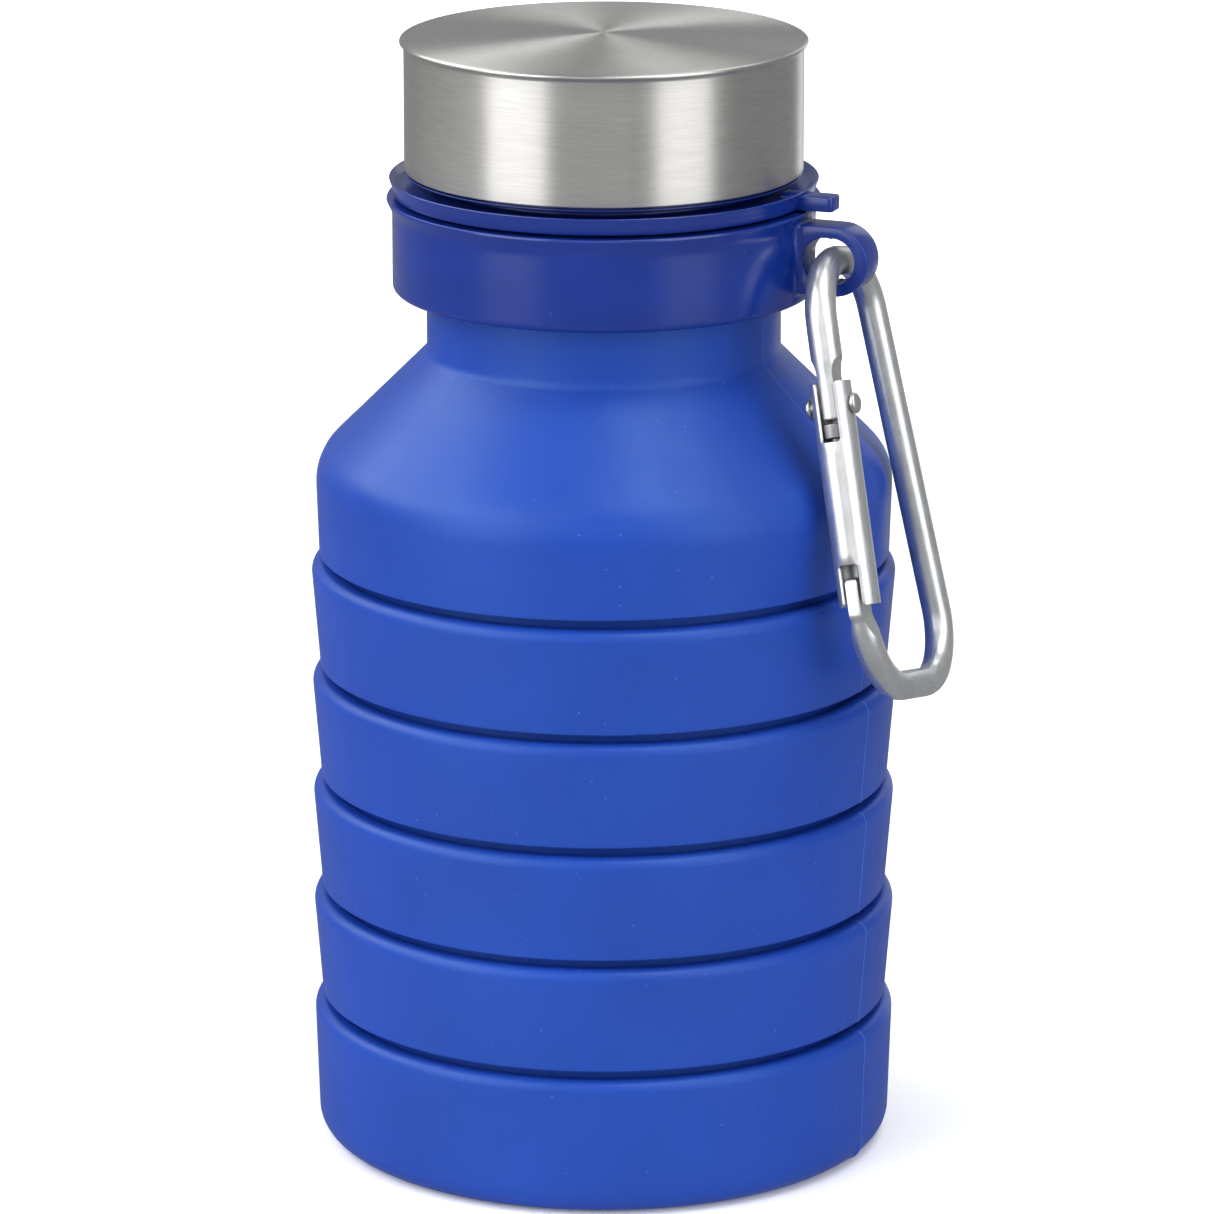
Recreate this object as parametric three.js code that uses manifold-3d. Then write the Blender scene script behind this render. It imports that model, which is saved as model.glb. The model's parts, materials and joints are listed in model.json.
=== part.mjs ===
// A collapsible silicone water bottle with a screw cap and a snap hook on its collar.
// Millimetres, +Z up. The origin is the middle of the base, on the surface it stands on,
// and +X points from the bottle's axis to the collar's loop, where the snap hook hangs.
import * as THREE from 'three';
import { mergeVertices } from 'three/addons/utils/BufferGeometryUtils.js';
import Module from 'manifold-3d';

const wasm = await Module();
wasm.setup();

// ---------------------------------------------------------------- driving dimensions

const GAP = 0.3;                 // clearance between pieces that touch on the real bottle
const TURN_SEGMENTS = 48;        // facets round the silicone body
const FINE_SEGMENTS = 60;        // facets round the cap and neck
const SMALL_SEGMENTS = 16;       // facets round the rivet, its holes and the plunger
const GATE_SEGMENTS = 20;
const WELD_DISTANCE = 1e-4;      // vertices closer than this become one
const PATH_SAMPLES = 400;        // points that a flat curve's length is measured from

const body = {
  baseHeight: 21.3,              // floor to the lowest fold line
  pitch: 16.66,                  // height of one fold band
  bands: 4,
  foldGap: 0.4,                  // the open slit at a fold line
  edgeRadius: 41.6,              // the crisp lower edge of a band, and its top at the slit
  bulgeRadius: 42.6,             // a band's widest, just under its rounded top
  bulgeDrop: 2.3,                // how far under the slit the widest line lies
  wall: 2.6,
  floor: 3.0,
  footOutset: 0.4,               // how far the foot stands out past the crisp edges
  footFillet: 4.0,
  cupDraft: 0.3,                 // how much narrower the inside is at the floor
  cupFillet: 3.0,
  shoulderRadius: 41.95,
  shoulderFillet: 8.0,
  neckRadius: 25.6,
  neckFillet: 1.5,
  neckWall: 2.0,
  neckInnerDrop: 1.4,            // the cone meets the neck this much lower on the inside
  neckTop: 140.9,
};
body.shoulderBottom = body.baseHeight + body.bands * body.pitch;
body.coneTop = 118.4;            // where the 45 degree cone meets the neck
body.coneBottom = body.coneTop - (body.shoulderRadius - body.neckRadius);

const insert = {                 // the moulded neck with the screw thread
  bore: 21.4,
  sleeveRadius: body.neckRadius - body.neckWall - GAP,
  sleeveBottom: 121.0,
  flangeBottom: 141.2,
  flangeTop: 143.7,
  flangeRadius: 31.0,
  flangeFoot: 30.3,
  flangeChamfer: 0.4,
  flangeFillet: 0.3,
  finishRadius: 24.2,
  top: 157.9,
};

const thread = {
  lead: 8.0,                     // rise in one turn
  starts: 2,
  turns: 0.75,                   // how far round each ridge runs
  ridge: 0.95,                   // half the thickness of the rounded ridge
  bottom: 147.6,                 // where the neck's ridges start
  drop: 2.0,                     // the cap's ridges lie this far under the neck's
  steps: 30,
  sides: 8,
};

const cap = {
  top: 163.7,
  bottom: 144.8,
  radius: 28.7,
  steel: 0.6,
  topFillet: 0.7,
  bead: 0.6,                     // how far the top edge stands out from the wall
  beadHeight: 1.6,
  beadSlope: 0.7,                // height of the slope from the bead back to the wall
  linerBore: 25.8,
  linerTopWall: 2.2,
  linerFlange: 28.5,
  linerBottom: 144.2,
  gasketInner: 21.7,
  gasketOuter: 25.3,
  gasketHeight: 1.9,
  gasketFillet: 0.4,
};

const collar = {
  bottom: 127.2,
  top: 140.8,
  radius: 30.5,
  rimRadius: 31.3,
  rimHeight: 2.2,
  rimEdge: 0.5,                  // height of the rim's upright edge
  bottomFillet: 0.8,
  skirt: 2.3,
  sleeve: 1.7,
  sleeveRise: 1.0,               // the sleeve ends this far above the skirt
  web: 2.4,
};

const loop = {
  centre: new THREE.Vector3(35.85, 0, 134.3),   // the hook swings about this point in the hole
  bore: 3.4,
  slot: 0.95,                    // the hole is this much longer towards the bottle
  radius: 5.0,
  outerShift: 0.35,              // the outside is centred this much further from the bottle
  width: 5.2,
  segments: 14,
};

const lug = {
  reach: 35.6,
  width: 3.6,
  low: 141.2,
  high: 143.5,
  corner: 0.6,
  root: 3.0,                     // how far inside the flange's foot it starts
};

// The snap hook, in its own flat frame: x across from the gate (-) to the spine (+), y up,
// z out of its flat side. The middle of its top bend's centreline is the origin there.
const hook = {
  wire: 2.1,
  steps: 84,
  sides: 12,
  gateLine: -10.2,               // the x of the gate's straight side
  topRight: 8.0,
  topFillet: 8.8,
  spineFoot: 20.4,
  length: 61.2,
  spineFillet: 7.5,
  noseFillet: 10.6,
  noseStart: -50.4,              // where the round wire ends at the nose
  bladeTop: -45.1,               // the wire is pressed flat at the nose
  bladeHalf: 0.9,
  bladeOuter: 2.5,               // pressing spreads it more on the outside than on the inside
  bladeInner: 1.9,
  pressOverlap: 1.2,             // how far each pressed end runs into the round wire
  tongueStart: -15.6,            // and again at the hinge, to fit between the gate's cheeks
  tongueHalf: 1.25,
  tongueWidth: 4.1,
  tongueEnd: -22.6,
  rivet: -20.7,
  lean: THREE.MathUtils.degToRad(13.2),
  tilt: THREE.MathUtils.degToRad(-11.3),
  offset: new THREE.Vector3(1.7, -0.53, -0.26),
};

const gate = {
  radius: 3.0,
  bore: 2.55,
  top: -17.3,
  bottom: -49.1,
  windowEnd: -25.8,
  noseWindow: -43.2,
  slotHalf: 1.45,                // half the slot that the flat end of the wire turns in
  innerSlotDrop: 1.0,            // the slot ends this far under the rivet on the inner side
  noseSlotHalf: 1.5,
  crimp: -38.0,                  // the top of the pressed ring that the spring stands on
  crimpHeight: 0.7,
  crimpBore: 1.3,
};

const rivet = {
  shank: 0.9,
  hole: 1.15,
  head: 1.5,
  headHeight: 0.9,
  headClearance: 0.15,           // between a head and the gate's cheek
};

const plunger = {
  play: 0.55,                    // room for the wire's square end to turn above it
  radius: 2.25,
  height: 2.1,
  stem: 1.2,
  stemHeight: 2.2,
};
plunger.top = hook.tongueEnd - plunger.play;

const spring = {
  radius: 1.8,
  wire: 0.25,
  turns: 7,
  endPlay: 0.1,                  // at each end, to the seat and to the plunger
  stepsPerTurn: 12,
  sides: 6,
};

// ---------------------------------------------------------------- materials

const finish = (color, roughness, metalness) =>
  new THREE.MeshStandardMaterial({ color, roughness, metalness });

const silicone = () => finish(0x2b50b4, 0.62, 0);
const bluePlastic = () => finish(0x1f3f9c, 0.25, 0);
const steel = () => finish(0xb4b4b0, 0.3, 1);
const aluminium = () => finish(0xc8cacd, 0.28, 1);
const springSteel = () => finish(0x9a9ca0, 0.35, 1);

// ---------------------------------------------------------------- solids

// Welds a geometry's vertices and drops the collapsed triangles that a lathe leaves on its axis.
function toSolid(geometry) {
  const bare = new THREE.BufferGeometry();
  bare.setAttribute('position', geometry.getAttribute('position'));
  bare.setIndex(geometry.getIndex());
  const welded = mergeVertices(bare, WELD_DISTANCE);
  const corners = welded.getIndex().array;
  const kept = [];
  for (let i = 0; i < corners.length; i += 3) {
    const [a, b, c] = [corners[i], corners[i + 1], corners[i + 2]];
    if (a !== b && b !== c && c !== a) kept.push(a, b, c);
  }
  return new wasm.Manifold(new wasm.Mesh({
    numProp: 3,
    vertProperties: Float32Array.from(welded.getAttribute('position').array),
    triVerts: Uint32Array.from(kept),
  }));
}

function toGeometry(solid) {
  const mesh = solid.getMesh();
  const geometry = new THREE.BufferGeometry();
  geometry.setAttribute('position', new THREE.BufferAttribute(mesh.vertProperties, 3));
  geometry.setIndex(new THREE.BufferAttribute(mesh.triVerts, 1));
  return geometry;
}

function piece(name, solid, material) {
  const geometry = toGeometry(solid);
  geometry.computeVertexNormals();
  const mesh = new THREE.Mesh(geometry, material);
  mesh.name = name;
  return mesh;
}

// Corners are [x, y, radius]; a corner with a radius becomes an arc of that radius.
function rounded(corners, { closed = true, steps = 4 } = {}) {
  const count = corners.length;
  const at = (i) => new THREE.Vector2(...corners[(i + count) % count].slice(0, 2));
  const points = [];
  corners.forEach(([x, y, radius = 0], i) => {
    const here = new THREE.Vector2(x, y);
    if (!radius || (!closed && (i === 0 || i === count - 1))) {
      points.push(here);
      return;
    }
    const back = at(i - 1).sub(here).normalize();
    const ahead = at(i + 1).sub(here).normalize();
    const half = Math.acos(back.dot(ahead)) / 2;
    const centre = back.clone().add(ahead).normalize().multiplyScalar(radius / Math.sin(half)).add(here);
    const start = back.clone().multiplyScalar(radius / Math.tan(half)).add(here);
    const sweep = (Math.PI - 2 * half) * -Math.sign(back.cross(ahead));
    for (let k = 0; k <= steps; k += 1) {
      points.push(start.clone().rotateAround(centre, (sweep * k) / steps));
    }
  });
  return points;
}

// Turns a closed [radius, height] outline about the Z axis.
function turned(points, segments = TURN_SEGMENTS) {
  const anticlockwise = THREE.ShapeUtils.area(points) > 0;
  const outline = anticlockwise ? [...points] : [...points].reverse();
  outline.push(outline[0].clone());
  return toSolid(new THREE.LatheGeometry(outline, segments).rotateX(Math.PI / 2));
}

function box(low, high) {
  const size = high.map((value, i) => value - low[i]);
  const middle = high.map((value, i) => (value + low[i]) / 2);
  return toSolid(new THREE.BoxGeometry(...size).translate(...middle));
}

// A cylinder along one axis, centred on a point.
function rod(axis, radius, length, centre, segments = SMALL_SEGMENTS) {
  const geometry = new THREE.CylinderGeometry(radius, radius, length, segments);
  if (axis === 'x') geometry.rotateZ(Math.PI / 2);
  if (axis === 'z') geometry.rotateX(Math.PI / 2);
  return toSolid(geometry.translate(centre.x, centre.y, centre.z));
}

// A round wire of the given radius along a curve. three.js gives a full circle two sides
// for each of its curve segments.
function wireAlong(curve, radius, steps, sides) {
  const section = new THREE.Shape().absarc(0, 0, radius, 0, 2 * Math.PI);
  return toSolid(new THREE.ExtrudeGeometry(section, {
    steps, curveSegments: sides / 2, bevelEnabled: false, extrudePath: curve,
  }));
}

// A flat path of straight runs and arcs, walked at even speed in the XY plane.
class FlatCurve extends THREE.Curve {
  constructor(points) {
    super();
    this.path = new THREE.Path(points);
    this.path.arcLengthDivisions = PATH_SAMPLES;
  }

  getPoint(t) {
    const { x, y } = this.path.getPointAt(t);
    return new THREE.Vector3(x, y, 0);
  }
}

class Helix extends THREE.Curve {
  constructor(radius, rise, turns, startAngle = 0) {
    super();
    Object.assign(this, { radius, rise, turns, startAngle });
  }

  getPoint(t) {
    const angle = this.startAngle + 2 * Math.PI * this.turns * t;
    return new THREE.Vector3(
      this.radius * Math.cos(angle), this.radius * Math.sin(angle), this.rise * t,
    );
  }
}

// ---------------------------------------------------------------- silicone body

const foldLine = (i) => body.baseHeight + i * body.pitch;

// The rounded top edge that every section has under its fold line, from its widest line up.
function roundedTop(high) {
  const inset = body.bulgeRadius - body.edgeRadius;
  const radius = (body.bulgeDrop ** 2 + inset ** 2) / (2 * inset);
  const sweep = Math.asin(body.bulgeDrop / radius);
  const steps = 3;
  return Array.from({ length: steps + 1 }, (_, k) => new THREE.Vector2(
    body.bulgeRadius - radius * (1 - Math.cos((sweep * k) / steps)),
    high - body.bulgeDrop + radius * Math.sin((sweep * k) / steps),
  ));
}

function baseCup() {
  const high = foldLine(0) - body.foldGap / 2;
  const inner = body.edgeRadius - body.wall;
  const outside = rounded([
    [0, 0],
    [body.edgeRadius + body.footOutset, 0, body.footFillet],
    [body.bulgeRadius, high - body.bulgeDrop],
  ], { closed: false });
  const inside = rounded([
    [inner, high],
    [inner - body.cupDraft, body.floor, body.cupFillet],
    [0, body.floor],
  ], { closed: false });
  return turned([...outside.slice(0, -1), ...roundedTop(high), ...inside]);
}

function foldBand(i) {
  const low = foldLine(i) + body.foldGap / 2;
  const high = foldLine(i + 1) - body.foldGap / 2;
  const inner = body.edgeRadius - body.wall;
  return turned([
    new THREE.Vector2(inner, low),
    new THREE.Vector2(body.edgeRadius, low),
    ...roundedTop(high),
    new THREE.Vector2(inner, high),
  ]);
}

function shoulderAndNeck() {
  const low = body.shoulderBottom + body.foldGap / 2;
  const coneInset = body.wall * (Math.SQRT2 - 1);
  return turned(rounded([
    [body.edgeRadius, low],
    [body.shoulderRadius, body.coneBottom, body.shoulderFillet],
    [body.neckRadius, body.coneTop, body.neckFillet],
    [body.neckRadius, body.neckTop],
    [body.neckRadius - body.neckWall, body.neckTop],
    [body.neckRadius - body.neckWall, body.coneTop - body.neckInnerDrop],
    [body.shoulderRadius - body.wall, body.coneBottom - coneInset, body.shoulderFillet - body.wall],
    [body.edgeRadius - body.wall, low],
  ]));
}

// ---------------------------------------------------------------- neck, collar and cap

// Rounded thread ridges on a wall of the given radius.
function threadRidges(radius, bottom) {
  const rise = thread.lead * thread.turns;
  return Array.from({ length: thread.starts }, (_, i) => {
    const start = (2 * Math.PI * i) / thread.starts;
    const line = new Helix(radius, rise, thread.turns, start);
    return wireAlong(line, thread.ridge, thread.steps, thread.sides).translate([0, 0, bottom]);
  });
}

function neckInsert() {
  const core = turned(rounded([
    [insert.bore, insert.sleeveBottom],
    [insert.sleeveRadius, insert.sleeveBottom],
    [insert.sleeveRadius, insert.flangeBottom],
    [insert.flangeFoot, insert.flangeBottom],
    [insert.flangeRadius, insert.flangeTop - insert.flangeChamfer, insert.flangeFillet],
    [insert.flangeRadius - insert.flangeChamfer, insert.flangeTop],
    [insert.finishRadius, insert.flangeTop],
    [insert.finishRadius, insert.top],
    [insert.bore, insert.top],
  ], { steps: 2 }), FINE_SEGMENTS);
  const root = insert.flangeFoot - lug.root;
  const outline = new THREE.Shape(rounded([
    [root, -lug.width / 2],
    [lug.reach, -lug.width / 2, lug.corner],
    [lug.reach, lug.width / 2, lug.corner],
    [root, lug.width / 2],
  ]));
  const tab = toSolid(new THREE.ExtrudeGeometry(outline, {
    depth: lug.high - lug.low, bevelEnabled: false,
  }).translate(0, 0, lug.low));
  const ridges = threadRidges(insert.finishRadius, thread.bottom);
  return ridges.reduce((solid, ridge) => solid.add(ridge), core.add(tab));
}

function collarWithLoop() {
  const bore = body.neckRadius + GAP;
  const sleeveOuter = bore + collar.sleeve;
  const skirtInner = collar.radius - collar.skirt;
  const ring = turned(rounded([
    [bore, collar.bottom + collar.sleeveRise],
    [sleeveOuter, collar.bottom + collar.sleeveRise],
    [sleeveOuter, collar.top - collar.web],
    [skirtInner, collar.top - collar.web],
    [skirtInner, collar.bottom],
    [collar.radius, collar.bottom, collar.bottomFillet],
    [collar.radius, collar.top - collar.rimHeight],
    [collar.rimRadius, collar.top - collar.rimEdge],
    [collar.rimRadius, collar.top],
    [bore, collar.top],
  ], { steps: 2 }), FINE_SEGMENTS);
  const { x, z } = loop.centre;
  const root = collar.radius - collar.skirt / 2;
  const outline = new THREE.Shape();
  outline.moveTo(root, z - loop.radius);
  outline.lineTo(x + loop.outerShift, z - loop.radius);
  outline.absarc(x + loop.outerShift, z, loop.radius, -Math.PI / 2, Math.PI / 2);
  outline.lineTo(root, z + loop.radius);
  const hole = new THREE.Path();
  hole.absarc(x, z, loop.bore, -Math.PI / 2, Math.PI / 2);
  hole.absarc(x - loop.slot, z, loop.bore, Math.PI / 2, 1.5 * Math.PI);
  outline.holes.push(hole);
  const eye = new THREE.ExtrudeGeometry(outline, {
    depth: loop.width, bevelEnabled: false, curveSegments: loop.segments,
  });
  eye.rotateX(Math.PI / 2).translate(0, loop.width / 2, 0);
  return ring.add(toSolid(eye));
}

function capShell() {
  const inner = cap.radius - cap.steel;
  return turned(rounded([
    [0, cap.top],
    [cap.radius + cap.bead, cap.top, cap.topFillet],
    [cap.radius + cap.bead, cap.top - cap.beadHeight],
    [cap.radius, cap.top - cap.beadHeight - cap.beadSlope],
    [cap.radius, cap.bottom],
    [inner, cap.bottom],
    [inner, cap.top - cap.steel],
    [0, cap.top - cap.steel],
  ]), FINE_SEGMENTS);
}

function capLiner() {
  const outer = cap.radius - cap.steel - GAP;
  const top = cap.top - cap.steel - GAP;
  const flangeTop = cap.bottom - GAP;
  const shell = turned([
    [0, top],
    [outer, top],
    [outer, flangeTop],
    [cap.linerFlange, flangeTop],
    [cap.linerFlange, cap.linerBottom],
    [cap.linerBore, cap.linerBottom],
    [cap.linerBore, top - cap.linerTopWall],
    [0, top - cap.linerTopWall],
  ].map(([x, y]) => new THREE.Vector2(x, y)), FINE_SEGMENTS);
  const ridges = threadRidges(cap.linerBore, thread.bottom - thread.drop);
  return ridges.reduce((solid, ridge) => solid.add(ridge), shell);
}

function capGasket() {
  const low = insert.top + GAP;
  return turned(rounded([
    [cap.gasketInner, low, cap.gasketFillet],
    [cap.gasketOuter, low, cap.gasketFillet],
    [cap.gasketOuter, low + cap.gasketHeight, cap.gasketFillet],
    [cap.gasketInner, low + cap.gasketHeight, cap.gasketFillet],
  ], { steps: 2 }));
}

// ---------------------------------------------------------------- snap hook

const rivetCentre = new THREE.Vector3(hook.gateLine, hook.rivet, 0);

// A ring outline turned about the gate's own axis: [radius, height along the gate].
function turnedOnGate(points, segments = GATE_SEGMENTS) {
  return turned(points, segments).rotate([-90, 0, 0]).translate([hook.gateLine, 0, 0]);
}

function hookFrame() {
  const centreline = rounded([
    [hook.gateLine, hook.noseStart],
    [hook.gateLine, -hook.length, hook.noseFillet],
    [hook.spineFoot, -hook.length, hook.spineFillet],
    [hook.topRight, 0, hook.topFillet],
    [hook.gateLine, 0, hook.topFillet],
    [hook.gateLine, hook.tongueStart],
  ], { closed: false, steps: 12 });
  const wire = wireAlong(new FlatCurve(centreline), hook.wire, hook.steps, hook.sides);
  const blade = box(
    [hook.gateLine - hook.bladeOuter, hook.noseStart - hook.pressOverlap, -hook.bladeHalf],
    [hook.gateLine + hook.bladeInner, hook.bladeTop, hook.bladeHalf],
  );
  const tongue = box(
    [hook.gateLine - hook.tongueWidth / 2, hook.tongueEnd, -hook.tongueHalf],
    [hook.gateLine + hook.tongueWidth / 2, hook.tongueStart + hook.pressOverlap, hook.tongueHalf],
  );
  const rivetHole = rod('z', rivet.hole, 4 * hook.wire, rivetCentre);
  return wire.add(blade).add(tongue).subtract(rivetHole);
}

function hookGate() {
  const tube = turnedOnGate([
    [gate.bore, gate.top],
    [gate.radius, gate.top],
    [gate.radius, gate.bottom],
    [gate.bore, gate.bottom],
    [gate.bore, gate.crimp - gate.crimpHeight],
    [gate.crimpBore, gate.crimp - gate.crimpHeight],
    [gate.crimpBore, gate.crimp],
    [gate.bore, gate.crimp],
  ].map(([x, y]) => new THREE.Vector2(x, y)));
  const beyond = 2 * gate.radius;
  const x = hook.gateLine;
  const outerSlot = box(
    [x - beyond, gate.windowEnd, -gate.slotHalf], [x, gate.top + beyond, gate.slotHalf],
  );
  const innerSlot = box(
    [x, hook.rivet - gate.innerSlotDrop, -gate.slotHalf],
    [x + beyond, gate.top + beyond, gate.slotHalf],
  );
  const noseSlot = box(
    [x - beyond, gate.bottom - beyond, -gate.noseSlotHalf],
    [x, gate.noseWindow, gate.noseSlotHalf],
  );
  const rivetHole = rod('z', rivet.hole, 4 * gate.radius, rivetCentre);
  return [outerSlot, innerSlot, noseSlot, rivetHole].reduce((solid, cut) => solid.subtract(cut), tube);
}

// One domed rivet through both cheeks of the gate and the end of the wire.
function gateRivet() {
  const under = gate.radius + rivet.headClearance;
  const half = rounded([
    [rivet.shank, 0],
    [rivet.shank, under],
    [rivet.head, under],
    [rivet.head, under + rivet.headHeight, rivet.headHeight],
    [0, under + rivet.headHeight],
  ], { closed: false, steps: 3 });
  const mirrored = half.slice(1).reverse().map(({ x, y }) => new THREE.Vector2(x, -y));
  return turned([...mirrored, ...half], SMALL_SEGMENTS).translate(rivetCentre.toArray());
}

function gatePlunger() {
  const bottom = plunger.top - plunger.height;
  return turnedOnGate([
    [0, plunger.top],
    [plunger.radius, plunger.top],
    [plunger.radius, bottom],
    [plunger.stem, bottom],
    [plunger.stem, bottom - plunger.stemHeight],
    [0, bottom - plunger.stemHeight],
  ].map(([x, y]) => new THREE.Vector2(x, y)), SMALL_SEGMENTS);
}

function gateSpring() {
  const endRoom = spring.wire + spring.endPlay;
  const top = plunger.top - plunger.height - endRoom;
  const bottom = gate.crimp + endRoom;
  const coil = new Helix(spring.radius, top - bottom, spring.turns);
  return wireAlong(coil, spring.wire, spring.turns * spring.stepsPerTurn, spring.sides)
    .translate([0, 0, bottom])
    .rotate([-90, 0, 0])
    .translate([hook.gateLine, 0, 0]);
}

// Hangs a flat group from the loop's hole: leaning out from the bottle, then tilted in its plane.
function hungFromLoop(meshes) {
  const flat = new THREE.Group();
  flat.add(...meshes);
  flat.rotation.z = hook.tilt;
  flat.position.copy(hook.offset);
  const upright = new THREE.Group();
  upright.add(flat);
  const across = new THREE.Vector3(0, 1, 0);
  const up = new THREE.Vector3(0, 0, 1);
  const out = new THREE.Vector3(1, 0, 0);
  upright.quaternion.setFromRotationMatrix(new THREE.Matrix4().makeBasis(across, up, out));
  const leaning = new THREE.Group();
  leaning.add(upright);
  leaning.position.copy(loop.centre);
  leaning.rotation.y = -hook.lean;
  return leaning;
}

// ---------------------------------------------------------------- the bottle

const bottle = new THREE.Group();
bottle.add(piece('base_cup', baseCup(), silicone()));
for (let i = 0; i < body.bands; i += 1) {
  bottle.add(piece(`fold_ring_${i + 1}`, foldBand(i), silicone()));
}
bottle.add(piece('shoulder_neck', shoulderAndNeck(), silicone()));
bottle.add(piece('neck_insert', neckInsert(), bluePlastic()));
bottle.add(piece('collar', collarWithLoop(), bluePlastic()));
bottle.add(piece('cap_gasket', capGasket(), silicone()));
bottle.add(piece('cap_liner', capLiner(), bluePlastic()));
bottle.add(piece('cap_shell', capShell(), steel()));
bottle.add(hungFromLoop([
  piece('hook_frame', hookFrame(), aluminium()),
  piece('hook_gate', hookGate(), aluminium()),
  piece('gate_rivet', gateRivet(), aluminium()),
  piece('gate_plunger', gatePlunger(), springSteel()),
  piece('gate_spring', gateSpring(), springSteel()),
]));

export default bottle;
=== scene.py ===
import json
import math

import bmesh
import bpy
import numpy as np
from mathutils import Matrix, Vector


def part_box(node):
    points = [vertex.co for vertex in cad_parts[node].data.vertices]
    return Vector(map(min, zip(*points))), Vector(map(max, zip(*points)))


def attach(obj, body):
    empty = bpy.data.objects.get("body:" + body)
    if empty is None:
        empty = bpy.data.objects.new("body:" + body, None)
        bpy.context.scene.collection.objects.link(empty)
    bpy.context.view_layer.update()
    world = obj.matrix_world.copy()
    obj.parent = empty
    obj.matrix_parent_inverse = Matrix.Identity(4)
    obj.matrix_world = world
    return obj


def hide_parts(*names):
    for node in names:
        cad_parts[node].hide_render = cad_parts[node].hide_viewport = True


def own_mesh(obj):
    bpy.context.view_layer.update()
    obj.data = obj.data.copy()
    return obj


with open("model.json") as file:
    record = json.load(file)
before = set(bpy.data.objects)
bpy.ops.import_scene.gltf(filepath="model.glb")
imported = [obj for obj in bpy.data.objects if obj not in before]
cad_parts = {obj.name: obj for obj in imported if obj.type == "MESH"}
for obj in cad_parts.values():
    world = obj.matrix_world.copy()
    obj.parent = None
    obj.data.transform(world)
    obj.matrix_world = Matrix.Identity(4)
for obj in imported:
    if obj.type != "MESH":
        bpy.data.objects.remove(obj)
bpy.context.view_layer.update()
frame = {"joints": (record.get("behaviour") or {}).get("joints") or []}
MM = 0.001

# ---------------------------------------------------------------- sizes that several pieces share


def low_mm(node):
    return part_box(node)[0] / MM


def high_mm(node):
    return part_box(node)[1] / MM


FOLDS = 4
RINGS = [f"fold_ring_{i + 1}" for i in range(FOLDS)]
BULGE_R = high_mm("base_cup").x             # a band's widest line
BASE_TOP = high_mm("base_cup").z
SLIT = low_mm(RINGS[0]).z - BASE_TOP        # the open slit at a fold line
JOINT = {joint["name"]: joint for joint in frame["joints"]}
LOOP_CENTRE = Vector(JOINT["hook_swing"]["pos_m"]) / MM
COLLAR_TOP = high_mm("collar").z
COLLAR_RIM = -low_mm("collar").x
COLLAR_WALL = COLLAR_RIM - 0.8              # the skirt's outside, under the rim
PARTING = math.radians(-5)                  # the silicone's mould parting line, and another opposite

# ---------------------------------------------------------------- mesh helpers


def rounded(corners, closed=True, step=math.radians(6)):
    """Corners are (x, y) or (x, y, radius); a corner with a radius becomes an arc."""
    points = []
    count = len(corners)
    for i, corner in enumerate(corners):
        here = Vector(corner[:2])
        radius = corner[2] if len(corner) > 2 else 0
        if not radius or (not closed and i in (0, count - 1)):
            points.append(here)
            continue
        back = (Vector(corners[i - 1][:2]) - here).normalized()
        ahead = (Vector(corners[(i + 1) % count][:2]) - here).normalized()
        half = math.acos(back.dot(ahead)) / 2
        centre = here + (back + ahead).normalized() * (radius / math.sin(half))
        arm = here + back * (radius / math.tan(half)) - centre
        sweep = (math.pi - 2 * half) * (-1 if back.cross(ahead) > 0 else 1)
        steps = max(2, math.ceil(abs(sweep) / step))
        for k in range(steps + 1):
            points.append(centre + Matrix.Rotation(sweep * k / steps, 2) @ arm)
    return points


def divided(points, spacing, closed=True):
    """The same outline with its long straight runs cut into short ones."""
    fine = []
    starts, ends = (points, points[1:] + points[:1]) if closed else (points[:-1], points[1:])
    for here, ahead in zip(starts, ends):
        pieces = max(1, math.ceil((ahead - here).length / spacing))
        fine += [here.lerp(ahead, k / pieces) for k in range(pieces)]
    return fine if closed else fine + [points[-1]]


def circle_steps(count):
    """Even angles round a circle."""
    return np.arange(count) * 2 * math.pi / count


def unit_circle(sides):
    """A round section, as rows of (across, up)."""
    ring = circle_steps(sides)
    return np.stack([np.cos(ring), np.sin(ring)], axis=-1)


def spokes(angles):
    """A unit vector in the XY plane for each angle."""
    return np.stack([np.cos(angles), np.sin(angles), 0 * angles], axis=-1)


def ring_angles(count, extra=()):
    """Even angles round a circle, with extra ones where a detail needs them."""
    more = np.asarray(extra, float) % (2 * math.pi)
    return np.unique(np.round(np.concatenate([circle_steps(count), more]), 7))


def flow_layer(bm):
    layers = bm.verts.layers.float_vector
    return layers.get("flow") or layers.new("flow")


def add_grid(bm, points, wrap_rows=False, wrap_columns=True, flow=None):
    """Quads between neighbours in a rows x columns x 3 array.
    flow says where each point is in the texture of a wire or a sheet."""
    rows, columns = points.shape[:2]
    layer = flow_layer(bm)
    grid = []
    for i in range(rows):
        line = [bm.verts.new(points[i, j]) for j in range(columns)]
        grid.append(line)
        if flow is not None:
            for j, vertex in enumerate(line):
                vertex[layer] = flow[i, j]
    for i in range(rows if wrap_rows else rows - 1):
        for j in range(columns if wrap_columns else columns - 1):
            below, above = grid[i], grid[(i + 1) % rows]
            k = (j + 1) % columns
            bm.faces.new((below[j], below[k], above[k], above[j]))
    return grid


def add_turned(bm, outline, angles, shape=None):
    """Turns a [radius, height] outline about Z. An outline that starts on the axis also ends there."""
    on_axis = outline[0][0] == 0
    around = np.asarray(angles)[:, None]
    radius = np.array([p[0] for p in outline], float)[None, :] + 0 * around
    height = np.array([p[1] for p in outline], float)[None, :] + 0 * around
    if shape:
        radius, height = shape(around, radius, height)
    points = np.stack([radius * np.cos(around), radius * np.sin(around), height], axis=-1)
    add_grid(bm, points, wrap_rows=True, wrap_columns=not on_axis)


FLOW_ROUND = 12                             # how wide a swept section is in its texture, in mm


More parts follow.
